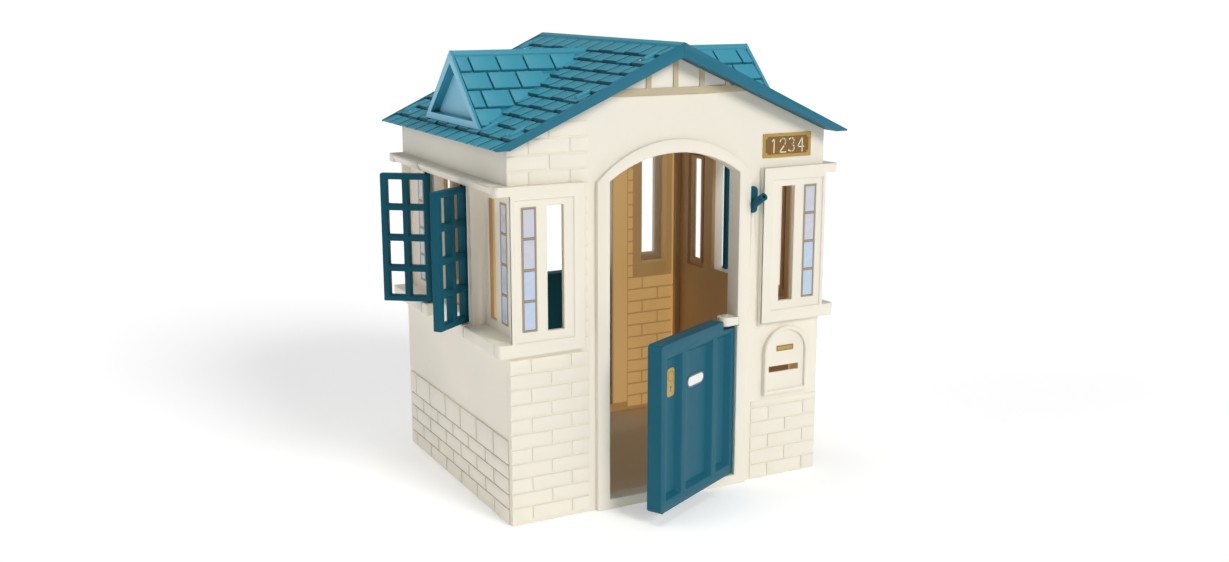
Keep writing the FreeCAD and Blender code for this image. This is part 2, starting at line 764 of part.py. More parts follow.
shutter("shutter_left_front", False, False)
shutter("shutter_left_rear", False, True)
shutter("shutter_right_front", True, True)
shutter("shutter_right_rear", True, False)


# ---------------------------------------------------------------- fixings and trim

def roof_screws():
    parts = []
    for side, sign in SIDES:
        for end in ("front", "back"):
            y = place(end, "screw_in")
            for i, across in enumerate(SCREW_ACROSS):
                n = f"roof_screw_{side}_{end}{i}_"
                parts.append(cylinder(n + "head", "screw_head", "screw_head_high",
                                      (sign * across, y, screw_seat(across))))
                parts.append(cylinder(n + "shank", "screw_shank", "screw_deep + screw_over",
                                      (sign * across, y, screw_tip(across))))
    return finish_piece(fuse("roof_screw_group", parts), "roof_screws")


def corner_screws():
    parts = []
    inner = "house_half - panel - flange"
    for side, sign in SIDES:
        head_x = span(sign, f"{inner} - screw_head_high", inner)[0]
        shank_x = span(sign, inner, f"{inner} + flange + corner_reach")[0]
        for end in ("front", "back"):
            y = place(end, CORNER_SCREW_IN)
            for i, height in enumerate(CORNER_SCREW_HEIGHTS):
                n = f"corner_screw_{side}_{end}{i}_"
                parts.append(cylinder(n + "head", "screw_head", "screw_head_high",
                                      (head_x, y, height), ALONG_X))
                parts.append(cylinder(n + "shank", "screw_shank", "flange + corner_reach",
                                      (shank_x, y, height), ALONG_X))
    return finish_piece(fuse("corner_screw_group", parts), "corner_screws")


def flag_holder():
    """An oval plate with a plug into the wall and a socket that leans out and up."""
    lean = FreeCAD.Rotation(FreeCAD.Vector(1, 0, 0), number("flag_lean"))
    x = "flag_across"
    left = f"{x} - flag_half"
    right = f"{x} + flag_half"
    low = "flag_low + flag_half"
    high = "flag_high - flag_half"
    plate_end = HALF_ROUND.format("flag_half")
    plate = slab("flag_holder_plate", "XZ_Plane",
                 [(left, low, plate_end), (right, low), (right, high, plate_end), (left, high)],
                 "-flag_plate", "flag_plate")
    plug = cylinder("flag_holder_plug", "flag_plug", "flag_plug_deep + 2",
                    (x, "-2", "(flag_low + flag_high) / 2"), ALONG_Y)
    socket = cylinder("flag_socket", "flag_wall", "flag_long",
                      (x, "-flag_start", "flag_low + flag_drop"), lean)
    bore = cylinder("flag_socket_bore", "flag_bore", "flag_long",
                    (x, "-flag_start - flag_floor * sin(flag_lean)",
                     "flag_low + flag_drop + flag_floor * cos(flag_lean)"), lean)
    holder = carve("flag_holder_solid", fuse("flag_holder_parts", [plate, plug, socket]), [bore])
    return finish_piece(holder, "flag_holder")


def gable_trim(label, turned):
    """A tan rail with five short posts that run up to the roof."""
    n = label + "_"
    low_half = "(gable_top - trim_low) / under_slope"
    high_half = "(gable_top - trim_high) / under_slope"
    parts = [slab(n + "rail", "XZ_Plane",
                  [(minus(low_half), "trim_low"), (low_half, "trim_low"),
                   (high_half, "trim_high"), (minus(high_half), "trim_high")],
                  "-trim_proud", "trim_proud")]
    for i in range(-2, 3):
        left = f"{i} * trim_pitch - trim_post / 2"
        right = f"{i} * trim_pitch + trim_post / 2"
        falls_right = "gable_top - under_slope * ({})"
        falls_left = "gable_top + under_slope * ({})"
        top = [(right, (falls_left if i < 0 else falls_right).format(right)),
               (left, (falls_right if i > 0 else falls_left).format(left))]
        if i == 0:
            top.insert(1, ("0", "gable_top"))
        parts.append(slab(f"{n}post{i + 3}", "XZ_Plane",
                          [(left, "trim_low + over"), (right, "trim_low + over")] + top,
                          "-trim_proud", "trim_proud"))
    return finish_piece(fuse(n + "trim", parts), label, turned)


roof_screws()
corner_screws()
flag_holder()
gable_trim("gable_trim_front", False)
gable_trim("gable_trim_back", True)
finish_piece(slab("number_plate_body", "XZ_Plane",
                  rectangle("number_near", "number_low", "number_far", "number_high"),
                  "-number_thick", "number_thick"), "number_plate")
finish_piece(slab("mail_plate_body", "XZ_Plane",
                  rectangle("mail_plate_near", "mail_plate_low", "mail_plate_far",
                            "mail_plate_high"),
                  "-mail_floor - plate_thick", "plate_thick"), "mail_box_plate")

for face, turned in (("front", False), ("back", True)):
    for sign, seen in ((-1, "right" if turned else "left"), (1, "left" if turned else "right")):
        across = span(sign, "strip_inner", "strip_inner + strip_wide")
        strip = slab(f"strip_{face}_{seen}_body", "XZ_Plane",
                     rectangle(across[0], "strip_low", across[1], "strip_high"),
                     "bay_floor - strip_thick", "strip_thick")
        finish_piece(strip, f"pane_strip_{face}_{seen}", turned)

for face, turned in (("left", False), ("right", True)):
    for end, seen in (("front", "rear" if turned else "front"),
                      ("back", "front" if turned else "rear")):
        stretch = run(end, "side_strip_near", "side_strip_near + strip_wide")
        strip = slab(f"strip_{face}_{seen}_body", "YZ_Plane",
                     rectangle(stretch[0], "strip_low", stretch[1], "strip_high"),
                     "side_bay_floor - house_half - strip_thick", "strip_thick")
        finish_piece(strip, f"pane_strip_{face}_{seen}", turned)


# ---------------------------------------------------------------- build, test and write

sheet.clear("D1")
doc.recompute()
for thing in doc.Objects:
    if "Invalid" in thing.State or "Error" in thing.State:
        raise RuntimeError(f"{thing.Name} ({thing.Label}) did not build: {thing.State}")
for piece in pieces:
    if piece.Shape.isNull() or not piece.Shape.isValid():
        raise RuntimeError(f"{piece.Label} has no valid shape")

os.makedirs("parts", exist_ok=True)
for piece in pieces:
    piece.Shape.exportStep(os.path.join("parts", piece.Label + ".step"))
    box_size = piece.Shape.BoundBox
    print(f"{piece.Label:24s} solids {len(piece.Shape.Solids):2d}  volume {piece.Shape.Volume:12.0f}"
          f"  x {box_size.XMin:7.1f} {box_size.XMax:7.1f}  y {box_size.YMin:7.1f}"
          f" {box_size.YMax:7.1f}  z {box_size.ZMin:7.1f} {box_size.ZMax:7.1f}")
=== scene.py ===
import math
import random

import bmesh
import bpy
from mathutils import Matrix, Vector


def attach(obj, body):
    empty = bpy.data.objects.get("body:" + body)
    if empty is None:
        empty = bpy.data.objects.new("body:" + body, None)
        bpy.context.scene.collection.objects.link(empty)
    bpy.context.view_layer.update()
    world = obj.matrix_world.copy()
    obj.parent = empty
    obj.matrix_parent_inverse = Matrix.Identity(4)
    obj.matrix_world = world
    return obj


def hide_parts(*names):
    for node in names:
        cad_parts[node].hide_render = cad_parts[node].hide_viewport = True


# The looks of a moulded plastic playhouse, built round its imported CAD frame.
# Lengths are millimetres in the frame's own axes, and make() turns a finished mesh into metres.
# The floor and the camera, at the end, are in metres.

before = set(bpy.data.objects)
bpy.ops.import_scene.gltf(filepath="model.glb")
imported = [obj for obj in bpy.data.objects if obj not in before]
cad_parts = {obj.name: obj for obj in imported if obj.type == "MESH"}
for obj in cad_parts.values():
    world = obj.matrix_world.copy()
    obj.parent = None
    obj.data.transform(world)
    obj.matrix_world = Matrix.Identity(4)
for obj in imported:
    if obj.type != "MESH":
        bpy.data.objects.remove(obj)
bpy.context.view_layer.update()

MM = 0.001
HOUSE_HALF = 492
DEPTH = 789
PANEL = 43
LAP = 14
GABLE_TOP = 1231
UNDER_SLOPE = 0.438
RIDGE_TOP = 1270
ROOF_SLOPE = 0.469
EAVE_HALF = 539
EAVE_UNDER = 1012
EAVE_STEP = 500
OVERHANG = 47
COURSE = 47
FIRST_COURSE = 70
COURSES = 11
CAP_HALF = 14
ROOF_SKIN = -13         # the slab under the shingles, measured up from the slope's top line
DORMER_FRONT = 485
DORMER_HALF = 205
DORMER_TOP = 1241
DORMER_BASE = 1042
DORMER_DEPTH = 26
DORMER_RISE = (DORMER_TOP - DORMER_BASE) / DORMER_HALF
DORMER_INNER = 60       # where the dormer's ridge runs into the roof
BRICK_PITCH = 41
BRICK_LOW = 13
BRICK_OUT = 4
FRONT_BRICK_OUT = 2.8
BRICK_INNER = 262
SKIRT_TOP = 237
FRAME_INNER = 279
FRAME_OUT = 20
MAIL_PROUD = 14
LEDGE_END = 530         # half of a front ledge's length, past the corner
SUNK = 3                # how far added bricks and bands run into a wall
MORTAR = 5.5
DOOR_OPEN = 28
HINGE = (170, 6)
PEGS = ((513, 258), (513, 531))


# ---------------------------------------------------------------- mesh helpers

BOX_FACES = ((0, 3, 2, 1), (4, 5, 6, 7), (0, 1, 5, 4), (1, 2, 6, 5), (2, 3, 7, 6), (3, 0, 4, 7))


def solid(bm, corners):
    """A six-sided solid from four lower corners and the four above them; returns its edges."""
    verts = [bm.verts.new(corner) for corner in corners]
    faces = [bm.faces.new([verts[i] for i in face]) for face in BOX_FACES]
    return {edge for face in faces for edge in face.edges}


def block(bm, low, high):
    """A box between two corners; returns its edges."""
    (x0, y0, z0), (x1, y1, z1) = low, high
    return solid(bm, [(x0, y0, z0), (x1, y0, z0), (x1, y1, z0), (x0, y1, z0),
                      (x0, y0, z1), (x1, y0, z1), (x1, y1, z1), (x0, y1, z1)])


def prism(bm, outline, along, start, end):
    """A flat outline (u, v) carried from start to end along X or Y; returns its edges."""
    def point(u, v, w):
        return (w, u, v) if along == "x" else (u, w, v)
    near = [bm.verts.new(point(u, v, start)) for u, v in outline]
    far = [bm.verts.new(point(u, v, end)) for u, v in outline]
    faces = [bm.faces.new(near[::-1]), bm.faces.new(far)]
    for i in range(len(outline)):
        j = (i + 1) % len(outline)
        faces.append(bm.faces.new([near[i], near[j], far[j], far[i]]))
    return {edge for face in faces for edge in face.edges}


def ring(bm, outer, inner, along, start, end):
    """A frame between two outlines with the same number of corners."""
    def point(u, v, w):
        return (w, u, v) if along == "x" else (u, w, v)
    loops = [[bm.verts.new(point(u, v, w)) for u, v in line]
             for line in (outer, inner) for w in (start, end)]
    edges = set()
    count = len(outer)
    for a, b in ((0, 1), (1, 3), (3, 2), (2, 0)):
        for i in range(count):
            j = (i + 1) % count
            face = bm.faces.new([loops[a][i], loops[a][j], loops[b][j], loops[b][i]])
            edges.update(face.edges)
    return edges


def lathe(bm, profile, base, turn=None, steps=24):
    """A turned solid: profile is (radius, height) from one end of the axis to the other."""
    turn = turn or Matrix.Identity(3)
    rings = []
    for radius, height in profile:
        if radius < 1e-6:
            rings.append([bm.verts.new(Vector(base) + turn @ Vector((0, 0, height)))])
            continue
        rings.append([bm.verts.new(Vector(base) + turn @ Vector((
            radius * math.cos(2 * math.pi * i / steps), radius * math.sin(2 * math.pi * i / steps),
            height))) for i in range(steps)])
    for low, high in zip(rings, rings[1:]):
        for i in range(steps):
            j = (i + 1) % steps
            if len(low) == 1 and len(high) > 1:
                bm.faces.new([low[0], high[j], high[i]])
            elif len(high) == 1 and len(low) > 1:
                bm.faces.new([low[i], low[j], high[0]])
            elif len(low) > 1:
                bm.faces.new([low[i], low[j], high[j], high[i]])


def soften(bm, edges, width, steps=2, clamp=True):
    """Round the edges off with a bevel."""
    edges = [edge for edge in edges if edge.is_valid]
    bmesh.ops.bevel(bm, geom=edges, offset=width, segments=steps, profile=0.5,
                    affect="EDGES", clamp_overlap=clamp)


def half_turn(bm):
    """Move a mesh to its twin's place, half a turn round the middle of the house."""
    bmesh.ops.transform(bm, verts=bm.verts,
                        matrix=Matrix.Translation((0, DEPTH, 0)) @ Matrix.Rotation(math.pi, 4, "Z"))


def arc(middle, radius, start, stop, steps):
    """Points along part of a circle, between two angles in degrees."""
    return [(middle[0] + radius * math.cos(math.radians(start + (stop - start) * i / steps)),
             middle[1] + radius * math.sin(math.radians(start + (stop - start) * i / steps)))
            for i in range(steps + 1)]


def rounded(left, low, right, high, radius, steps=5):
    """The outline of a rectangle with round corners."""
    return (arc((right - radius, low + radius), radius, -90, 0, steps)
            + arc((right - radius, high - radius), radius, 0, 90, steps)
            + arc((left + radius, high - radius), radius, 90, 180, steps)
            + arc((left + radius, low + radius), radius, 180, 270, steps))


def add_mesh(bm, part):
    """Add one mesh to another and free it."""
    mesh = bpy.data.meshes.new("layer")
    part.to_mesh(mesh)
    part.free()
    bm.from_mesh(mesh)
    bpy.data.meshes.remove(mesh)


def add_layer(bm, build, index, width=0.0, steps=1):
    """Build one part of a piece on its own, soften it, give it its colour and add it."""
    part = bmesh.new()
    edges = build(part)
    if width:
        soften(part, edges, width, steps)
    for face in part.faces:
        face.material_index = index
    add_mesh(bm, part)


def make(name, bm, material, body, replaces=(), more_materials=(), smooth=40):
    """Turn a mesh in millimetres into a finished piece in metres that rides on a body."""
    bmesh.ops.recalc_face_normals(bm, faces=bm.faces)
    bmesh.ops.scale(bm, verts=bm.verts, vec=(MM, MM, MM))
    mesh = bpy.data.meshes.new(name)
    bm.to_mesh(mesh)
    bm.free()
    for polygon in mesh.polygons:
        polygon.use_smooth = True
    mesh.set_sharp_from_angle(angle=math.radians(smooth))
    for item in (material, *more_materials):
        mesh.materials.append(item)
    piece = bpy.data.objects.new(name, mesh)
    bpy.context.scene.collection.objects.link(piece)
    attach(piece, body)
    if replaces:
        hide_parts(*replaces)
    return piece


def cad_mesh(node):
    """A CAD node's mesh as a bmesh in millimetres, with its doubled points joined."""
    bm = bmesh.new()
    bm.from_mesh(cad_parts[node].data)
    bmesh.ops.scale(bm, verts=bm.verts, vec=(1 / MM, 1 / MM, 1 / MM))
    bmesh.ops.remove_doubles(bm, verts=bm.verts, dist=0.01)
    return bm


HOLE_REACH = 6.6        # from an upright hole's axis to just outside its rim


def beside_pin(vert):
    """Whether a point lies on the rim of an upright pin's or peg's hole."""
    spots = [HINGE, (-HINGE[0], DEPTH - HINGE[1])]
    spots += [(side * x, y) for x, y in PEGS for side in (-1, 1)]
    return any(math.hypot(vert.co.x - x, vert.co.y - y) < HOLE_REACH for x, y in spots)


def sharp_edges(bm, shortest=2.0, angle=25):
    """Edges that turn by more than an angle, apart from short ones and the rims of pin holes."""
    found = []
    for edge in bm.edges:
        if len(edge.link_faces) == 2 and edge.calc_length() > shortest:
            if edge.calc_face_angle() > math.radians(angle):
                if not all(beside_pin(vert) for vert in edge.verts):
                    found.append(edge)
    return found


def at(edge, axis, value, spare=0.1):
    """Whether both ends of an edge lie at a value along an axis."""
    return all(abs(vert.co[axis] - value) < spare for vert in edge.verts)


def dissolve_flat(bm):
    """Join the triangles of each flat face into one face."""
    bmesh.ops.dissolve_degenerate(bm, dist=0.01, edges=bm.edges)
    bmesh.ops.dissolve_limit(bm, angle_limit=math.radians(0.5), verts=bm.verts, edges=bm.edges)


# ---------------------------------------------------------------- materials

def new_material(name):
    """A material; returns it with its node tree, its shader and the object's coordinates."""
    material = bpy.data.materials.new(name)
    material.use_nodes = True
    tree = material.node_tree
    place = tree.nodes.new("ShaderNodeTexCoord").outputs["Object"]
    return material, tree, tree.nodes["Principled BSDF"], place


def noise(tree, place, scale, detail=2.0):
    node = tree.nodes.new("ShaderNodeTexNoise")
    node.inputs["Scale"].default_value = scale
    node.inputs["Detail"].default_value = detail
    tree.links.new(place, node.inputs["Vector"])
    return node.outputs["Fac"]


def maths(tree, operation, first, second=None):
    """One step of arithmetic on numbers or on other nodes' outputs."""
    node = tree.nodes.new("ShaderNodeMath")
    node.operation = operation
    for socket, value in zip(node.inputs, (first, second)):
        if isinstance(value, (int, float)):
            socket.default_value = value
        elif value is not None:
            tree.links.new(value, socket)
    return node.outputs["Value"]


def blend(tree, factor, first, second):
    """A mix of two colours, each one given as numbers or as another node's output."""
    node = tree.nodes.new("ShaderNodeMix")
    node.data_type = "RGBA"
    for socket, value in (("A", first), ("B", second)):
        if isinstance(value, tuple):
            node.inputs[socket].default_value = (*value, 1)
        else:
            tree.links.new(value, node.inputs[socket])
    tree.links.new(factor, node.inputs["Factor"])
    return node.outputs["Result"]


def remap(tree, value, low, high, start=0.0, stop=1.0):
    """A value that runs from start to stop, carried over to run from low to high."""
    node = tree.nodes.new("ShaderNodeMapRange")
    limits = (("From Min", start), ("From Max", stop), ("To Min", low), ("To Max", high))
    for socket, limit in limits:
        node.inputs[socket].default_value = limit
    tree.links.new(value, node.inputs["Value"])
    return node.outputs["Result"]


def bump(tree, height, strength, distance, under=None):
    node = tree.nodes.new("ShaderNodeBump")
    node.inputs["Strength"].default_value = strength
    node.inputs["Distance"].default_value = distance
    tree.links.new(height, node.inputs["Height"])
    if under is not None:
        tree.links.new(under, node.inputs["Normal"])
    return node.outputs["Normal"]


def plastic(name, colour, shade, rough=0.42, grain=0.12, inner_shade=None, shine=0.35):
    """Moulded plastic: two close tones in slow clouds, a fine skin and faint ripples."""
    material, tree, shader, place = new_material(name)
    shader.inputs["Specular IOR Level"].default_value = shine
    tone = blend(tree, noise(tree, place, 5.0, 4.0), colour, shade)
    gloss = remap(tree, noise(tree, place, 38.0, 3.0), rough - 0.07, rough + 0.09)
    skin = bump(tree, noise(tree, place, 1400.0), grain, 0.0004)
    relief = bump(tree, noise(tree, place, 55.0), 0.25, 0.0012, skin)
    for socket, value in (("Base Color", tone), ("Roughness", gloss), ("Normal", relief)):
        tree.links.new(value, shader.inputs[socket])
    # A given inner colour paints shade on the walls' inner faces and adds a painted glow on the end
    # walls.
    if inner_shade:
        paint_inner_shade_and_glow(tree, shader, tone, place, inner_shade)
    return material


# Colour of the painted glow on the end walls' inner faces; the walls are no lamp.
END_WALL_PAINTED_GLOW = (0.34, 0.215, 0.080)


def paint_inner_shade_and_glow(tree, shader, tone, place, inner_shade):
    """Painted shade on the walls' inner faces, a warmer and darker colour, and a painted glow on those
    of the end walls, standing in for light that comes through the plastic.
    """
    split = tree.nodes.new("ShaderNodeSeparateXYZ")
    tree.links.new(place, split.inputs["Vector"])
    deep = split.outputs["Y"]
    across = maths(tree, "ABSOLUTE", split.outputs["X"])

    def both(first, second):
        return maths(tree, "MULTIPLY", first, second)

    def between(low, high):
        return both(maths(tree, "GREATER_THAN", deep, low * MM),
                    maths(tree, "LESS_THAN", deep, high * MM))

    room = between(PANEL - 0.5, DEPTH - PANEL + 0.5)
    hollow = both(between(6, DEPTH - 6),
                  maths(tree, "GREATER_THAN", across, (BRICK_INNER + 20) * MM))
    # The inner faces, which take the painted shade.
    hidden = both(maths(tree, "LESS_THAN", across, (HOUSE_HALF - 30) * MM),
                  maths(tree, "MAXIMUM", room, hollow))
    off_middle = maths(tree, "ABSOLUTE", maths(tree, "SUBTRACT", deep, DEPTH / 2 * MM))
    near_end = maths(tree, "GREATER_THAN", off_middle, (DEPTH / 2 - PANEL - 12) * MM)
    # The painted glow is full on the inner bricks and fainter on the flat inner face.
    thin = remap(tree, off_middle, 1.0, 0.45,
                 (DEPTH / 2 - PANEL - BRICK_OUT) * MM, (DEPTH / 2 - PANEL) * MM)
    glow = blend(tree, both(both(hidden, near_end), thin), (0.0, 0.0, 0.0), END_WALL_PAINTED_GLOW)
    tree.links.new(glow, shader.inputs["Emission Color"])
    shader.inputs["Emission Strength"].default_value = 1.0
    # Painted shade: the inner faces take the warmer, darker colour.
    tree.links.new(blend(tree, hidden, tone, inner_shade), shader.inputs["Base Color"])


def metal(name, colour, rough):
    """Bare metal with a finely uneven gloss."""
    material, tree, shader, place = new_material(name)
    shader.inputs["Base Color"].default_value = (*colour, 1)
    shader.inputs["Metallic"].default_value = 1.0
    gloss = remap(tree, noise(tree, place, 700.0), rough - 0.08, rough + 0.12)
    tree.links.new(gloss, shader.inputs["Roughness"])
    return material


# The cream plastic; its third colour is the painted shade on the walls' inner faces.
CREAM = plastic("cream_plastic", (0.88, 0.83, 0.715), (0.85, 0.80, 0.685), inner_shade=(0.60, 0.41, 0.22))
TEAL = plastic("roof_plastic", (0.044, 0.300, 0.405), (0.054, 0.325, 0.435), rough=0.42)
# A darker copy of the roof's teal, painted shade on the strips along the gable edges.
FASCIA_PAINTED_SHADE = plastic("fascia_painted_shade", (0.007, 0.140, 0.215), (0.010, 0.160, 0.240), rough=0.40)
# A darker teal, painted shade in the gaps between shingles: on the slab under them and on their sides.
ROOF_GAP_PAINTED_SHADE = plastic("roof_gap_painted_shade", (0.008, 0.095, 0.145), (0.010, 0.110, 0.165), rough=0.55)
# A darker cream, painted shade in the grooves between the side walls' skirt bricks.
SKIRT_GROOVE_PAINTED_SHADE = plastic("skirt_groove_painted_shade", (0.40, 0.355, 0.28), (0.36, 0.32, 0.25), rough=0.6)
# A lighter blue copy of the roof's teal: a painted reflection of the bright surroundings on the dormers'
# front faces.
DORMER_PAINTED_SHEEN = plastic("dormer_painted_sheen", (0.25, 0.59, 0.78), (0.27, 0.62, 0.81), rough=0.40)
DOOR_TEAL = plastic("door_plastic", (0.004, 0.098, 0.152), (0.007, 0.118, 0.178), rough=0.34, shine=0.16)
DARK_TEAL = plastic("shutter_plastic", (0.003, 0.085, 0.130), (0.005, 0.100, 0.150), rough=0.40,
                    shine=0.12)
TAN = plastic("trim_plastic", (0.56, 0.48, 0.32), (0.52, 0.44, 0.29), rough=0.45)
STRIP_TAN = plastic("strip_frame_print", (0.40, 0.34, 0.22), (0.36, 0.30, 0.19), rough=0.35, grain=0.04)
PANE = plastic("pane_print", (0.60, 0.60, 0.66), (0.57, 0.60, 0.70), rough=0.25, grain=0.03)
PANE_LOW = plastic("pane_low_print", (0.55, 0.62, 0.76), (0.50, 0.62, 0.78), rough=0.25, grain=0.03)
LEAD = plastic("pane_line", (0.20, 0.18, 0.15), (0.16, 0.15, 0.13), rough=0.4, grain=0.03)
GOLD = plastic("gold_print", (0.56, 0.38, 0.10), (0.42, 0.27, 0.06), rough=0.28, grain=0.05)
BROWN = plastic("brown_print", (0.24, 0.130, 0.030), (0.19, 0.095, 0.020), rough=0.32, grain=0.05)
DIGIT = plastic("digit_print", (0.88, 0.78, 0.58), (0.82, 0.70, 0.48), rough=0.3, grain=0.03)
BADGE = plastic("badge_print", (0.88, 0.88, 0.86), (0.84, 0.84, 0.83), rough=0.25, grain=0.03)
BORDER = plastic("badge_border", (0.17, 0.21, 0.25), (0.14, 0.18, 0.22), rough=0.3, grain=0.03)
PIN_GREY = plastic("pin_plastic", (0.60, 0.60, 0.58), (0.54, 0.54, 0.52), rough=0.35, grain=0.05)
STEEL = metal("zinc_steel", (0.80, 0.81, 0.82), 0.28)


# ---------------------------------------------------------------- walls

def clipped(outline, falls):
    """The part of an outline that lies under the roof's sloping underside."""
    def spare(point):
        return GABLE_TOP - UNDER_SLOPE * abs(point[0]) - falls - point[1]
    kept = []
    for i, here in enumerate(outline):
        there = outline[(i + 1) % len(outline)]
        a, b = spare(here), spare(there)
        if a >= 0:
            kept.append(here)
        if a * b < 0:
            share = a / (a - b)
            kept.append((here[0] + (there[0] - here[0]) * share,
                         here[1] + (there[1] - here[1]) * share))
    return kept


def brick_spans(low, high, joints):
    """Brick ends along a row, each a gap short of its joints."""
    stops = [low] + [j for j in joints if low + 8 < j < high - 8] + [high]
    for i in range(len(stops) - 1):
        left = stops[i] + (MORTAR / 2 if i else 0)
        right = stops[i + 1] - (MORTAR / 2 if i < len(stops) - 2 else 0)
        yield left, right


FIELD_ROWS = 26
FIELD_JOINTS = ((-433, -316), (-375,))
BARE_BELOW = 470        # brickwork runs its full width up to here,
BARE_ABOVE = 914        # and again from here, above the window frame
SHORTEST_BRICK = 8


def bare_from(low, top, left, right):
    """Where a brick's clear stretch begins: beside the window frame only a strip is bare."""
    if top <= BARE_BELOW or low >= BARE_ABOVE:
        return left
    return max(left, -FRAME_INNER) if right > -FRAME_INNER + 4 else None


def left_field(bm, near, far, start, end):
    """Bricks of the tall field left of the doorway, from its foot to the roof."""
    edges = set()
    for row in range(FIELD_ROWS):
        low = BRICK_LOW + row * BRICK_PITCH
        top = low + BRICK_PITCH - MORTAR
        for left, right in brick_spans(near, far, FIELD_JOINTS[row % 2]):
            clear = bare_from(low, top, left, right)
            if clear is None:
                continue
            outline = clipped([(clear, low), (right, low), (right, top), (clear, top)], 3)
            if len(outline) >= 3 and max(point[1] for point in outline) - low > SHORTEST_BRICK:
                edges |= prism(bm, outline, "y", start, end)
    return edges


FOOT_ROWS = (5, 49, 93, 136, 179, 222)
FOOT_JOINTS = ((321, 443), (380,))


def right_skirt(bm, near, far, start, end):
    """Five rows of bricks right of the doorway, under a plain band."""
    edges = set()
    for row, (low, above) in enumerate(zip(FOOT_ROWS, FOOT_ROWS[1:])):
        for left, right in brick_spans(near, far, FOOT_JOINTS[row % 2]):
            edges |= block(bm, (left, start, low), (right, end, above - MORTAR))
    edges |= block(bm, (near, start, FOOT_ROWS[-1]), (far, end, SKIRT_TOP))
    return edges


# Near edge, far edge, foot and head of the window slots.
SLOTS = (339, 386.6, 532, 863)
SIDE_SLOT = (141, 191, 532, 863)


RIM_WIDE = 11


def slot_rim(part, near, far, low, high, along, start, end):
    """A raised lip round a window slot, on the inner side of its hollow."""
    def outline(spread):
        return [(near - spread, low - spread), (far + spread, low - spread),
                (far + spread, high + spread), (near - spread, high + spread)]
    return ring(part, outline(RIM_WIDE), outline(0.5), along, start, end)


INNER_FIELD = 428       # the inner brickwork stops here, clear of the side walls
INNER_BAND = (207, 258)
INNER_BAND_LOW = 32
INNER_BAND_HIGH = 905


def end_wall(name, node, turned):
    """A gabled wall: the front wall's CAD mesh with bricks, inner bands and slot rims."""
    bm = cad_mesh("front_wall")
    for vert in bm.verts:
        if abs(vert.co.y + BRICK_OUT) < 0.02:
            vert.co.y = 0.0
    dissolve_flat(bm)
    ends = [e for e in sharp_edges(bm)
            if all(abs(abs(v.co.x) - LEDGE_END) < 0.1 and v.co.y < 15 for v in e.verts)
            and abs(e.verts[0].co.z - e.verts[1].co.z) > 5]
    soften(bm, ends, 9, 4, clamp=False)
    proud = [e for e in sharp_edges(bm) if at(e, 1, -FRAME_OUT) or at(e, 1, -MAIL_PROUD)]
    soften(bm, proud, 4, 4, clamp=False)
    soften(bm, sharp_edges(bm), 1.7, 2, clamp=False)
    inner = (PANEL - SUNK, PANEL + BRICK_OUT)
    edges = left_field(bm, -HOUSE_HALF + 1, -BRICK_INNER, -FRONT_BRICK_OUT, SUNK)
    edges |= left_field(bm, -INNER_FIELD, -BRICK_INNER, *inner)
    edges |= right_skirt(bm, BRICK_INNER, HOUSE_HALF - 1, -FRONT_BRICK_OUT, SUNK)
    edges |= right_skirt(bm, BRICK_INNER, INNER_FIELD, *inner)
    near, far = INNER_BAND
    for west, east in ((-far, -near), (near, far)):
        edges |= block(bm, (west, inner[0], INNER_BAND_LOW), (east, inner[1], INNER_BAND_HIGH))
    soften(bm, edges, 1.3, 2)
    near, far, low, high = SLOTS
    for west, east in ((near, far), (-far, -near)):
        add_layer(bm, lambda part, west=west, east=east: slot_rim(
            part, west, east, low, high, "y", -7.5, 2), 0, 2, 3)
    if turned:
        half_turn(bm)
    make(name, bm, CREAM, "house", (node,))


SKIRT_ROWS = (2, 47, 88, 132, 172, 240)
SKIRT_JOINTS = ((113, 235, 356, 475, 606, 727), (172, 297, 418, 541, 667))


def side_wall(name, node, turned):
    """A side wall: the left wall's CAD mesh with its brick skirt and slot rims."""
    bm = cad_mesh("left_wall")
    for vert in bm.verts:
        if abs(vert.co.x + HOUSE_HALF + BRICK_OUT) < 0.02:
            vert.co.x = -HOUSE_HALF
    dissolve_flat(bm)
    proud = [e for e in sharp_edges(bm)
             if all(abs(vert.co.x) > HOUSE_HALF + 20 for vert in e.verts)]
    soften(bm, proud, 4, 4, clamp=False)
    soften(bm, sharp_edges(bm), 1.7, 2, clamp=False)
    # A sheet just behind the skirt bricks, in the darker colour, shows in the grooves as painted shade.
    add_layer(bm, lambda part: block(part, (-HOUSE_HALF - 0.6, LAP + 2, 3),
                                     (-HOUSE_HALF + SUNK, DEPTH - LAP - 2, SKIRT_TOP - 1)), 1)
    edges = set()
    for row, (low, above) in enumerate(zip(SKIRT_ROWS, SKIRT_ROWS[1:])):
        for near, far in brick_spans(LAP + 1, DEPTH - LAP - 1, SKIRT_JOINTS[row % 2]):
            edges |= block(bm, (-HOUSE_HALF - BRICK_OUT, near, low),
                           (-HOUSE_HALF + SUNK, far, above - 3))
    soften(bm, edges, 1.2, 2)
    near, far, low, high = SIDE_SLOT
    for start, stop in ((near, far), (DEPTH - far, DEPTH - near)):
        add_layer(bm, lambda part, start=start, stop=stop: slot_rim(
            part, start, stop, low, high, "x", -459.5, -451), 0, 2, 3)
    if turned:
        half_turn(bm)
    make(name, bm, CREAM, "house", (node,), (SKIRT_GROOVE_PAINTED_SHADE,))


end_wall("front_wall_panel", "front_wall", False)
end_wall("back_wall_panel", "back_wall", True)
side_wall("left_wall_panel", "left_wall", False)
side_wall("right_wall_panel", "right_wall", True)


# ---------------------------------------------------------------- roof

def slope_height(across):
    """Height of the roof's top line at a distance from the ridge."""
    return RIDGE_TOP - ROOF_SLOPE * across


